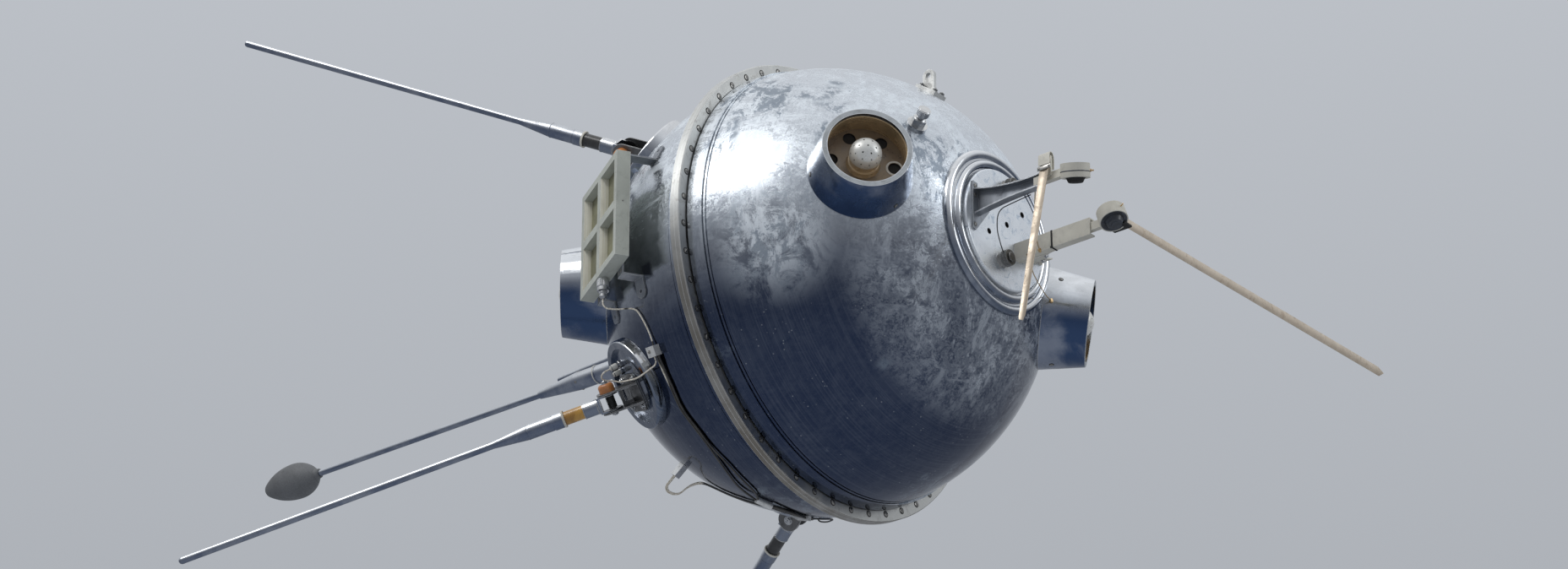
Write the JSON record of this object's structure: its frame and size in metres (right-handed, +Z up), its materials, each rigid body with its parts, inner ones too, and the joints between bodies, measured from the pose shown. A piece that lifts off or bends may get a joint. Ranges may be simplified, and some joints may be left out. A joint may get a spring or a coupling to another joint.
{
  "type": "spherical space probe with ion traps and a magnetometer boom",
  "caption": "Polished spherical space probe: bolted hemispheres, open ion traps, sensor panel, magnetometer boom, sprung rod antennas and ribbon antennas.",
  "frame": {"origin": "centre of the sphere", "axes": "+X along the axis to the crown with the ribbon antennas, -X along the magnetometer boom, +Z up as it hangs from its two lifting lugs"},
  "size_m": [2.1521, 1.6273, 1.3074],
  "materials": {
    "boom_grey": "satin",
    "cable": "black sheath",
    "connector": "dark knurled",
    "cream": "cream",
    "crown": "polished",
    "electrode": "pale, perforated",
    "fitting": "machined",
    "flange": "satin",
    "head_grey": "matt grey",
    "insulator_black": "black",
    "insulator_brown": "brown glaze",
    "panel": "pale grey paint",
    "panel_floor": "olive",
    "polished_sphere": "polished, clouded by age",
    "shroud": "polished",
    "steel_tape": "cream-coloured spring tape",
    "trap_floor": "dark satin"
  },
  "bodies": {
    "base": {"antenna_bracket_a": "fitting", "antenna_bracket_b": "fitting", "antenna_bracket_c": "fitting", "antenna_bracket_d": "fitting", "antenna_port_a": "shroud", "antenna_port_b": "shroud", "antenna_port_c": "shroud", "antenna_port_d": "shroud", "boom_base": "boom_grey", "boom_rod": "boom_grey", "boom_tube": "boom_grey", "cable_clamps": "fitting", "cables": "cable", "charging_valve": "fitting", "crown_connectors": "connector", "crown_leads": "cable", "crown_plate": "crown", "crown_ring": "crown", "flange_boom": "flange", "flange_crown": "flange", "hull_boom": "polished_sphere", "hull_crown": "polished_sphere", "lead_insulators": "insulator_brown", "lug_boom": "fitting", "lug_crown": "fitting", "magnetometer_head": "head_grey", "panel_cells": "panel_floor", "panel_feet": "panel", "panel_frame": "panel", "plugs": "fitting", "ribbon_arm_1": "cream", "ribbon_arm_2": "cream", "ribbon_reel_1": "cream", "ribbon_reel_2": "cream", "ribbon_tape_1": "steel_tape", "ribbon_tape_2": "steel_tape", "trap_electrode_boom_left": "electrode", "trap_electrode_boom_right": "electrode", "trap_electrode_crown_left": "electrode", "trap_electrode_crown_right": "electrode", "trap_plate_boom_left": "trap_floor", "trap_plate_boom_right": "trap_floor", "trap_plate_crown_left": "trap_floor", "trap_plate_crown_right": "trap_floor", "trap_shroud_boom_left": "shroud", "trap_shroud_boom_right": "shroud", "trap_shroud_crown_left": "shroud", "trap_shroud_crown_right": "shroud"},
    "antenna_a": {"antenna_knuckle_a": "fitting", "antenna_insulator_a": "insulator_black", "antenna_rod_a": "fitting"},
    "antenna_b": {"antenna_knuckle_b": "fitting", "antenna_insulator_b": "insulator_black", "antenna_rod_b": "fitting"},
    "antenna_c": {"antenna_knuckle_c": "fitting", "antenna_insulator_c": "insulator_black", "antenna_rod_c": "fitting"},
    "antenna_d": {"antenna_knuckle_d": "fitting", "antenna_insulator_d": "insulator_black", "antenna_rod_d": "fitting"}
  },
  "joints": [
    {"name": "antenna_a_fold", "type": "hinge", "parent": "base", "child": "antenna_a", "pos_m": [-0.27787, -0.26311, 0.28713], "axis": [0.0174, -0.7292, -0.6841], "range_deg": [0, 34], "stiffness_Nm_per_rad": 0.6, "springref_deg": -85.94},
    {"name": "antenna_b_fold", "type": "hinge", "parent": "base", "child": "antenna_b", "pos_m": [-0.27787, -0.29614, -0.25293], "axis": [-0.0522, 0.6242, -0.7795], "range_deg": [0, 31], "stiffness_Nm_per_rad": 0.6, "springref_deg": -85.94},
    {"name": "antenna_c_fold", "type": "hinge", "parent": "base", "child": "antenna_c", "pos_m": [-0.27787, 0.2435, -0.30394], "axis": [0, 0.7804, 0.6252], "range_deg": [0, 32], "stiffness_Nm_per_rad": 0.6, "springref_deg": -85.94},
    {"name": "antenna_d_fold", "type": "hinge", "parent": "base", "child": "antenna_d", "pos_m": [-0.27787, 0.30394, 0.2435], "axis": [-0.0561, -0.614, 0.7873], "range_deg": [-19, 13], "stiffness_Nm_per_rad": 0.6}
  ]
}
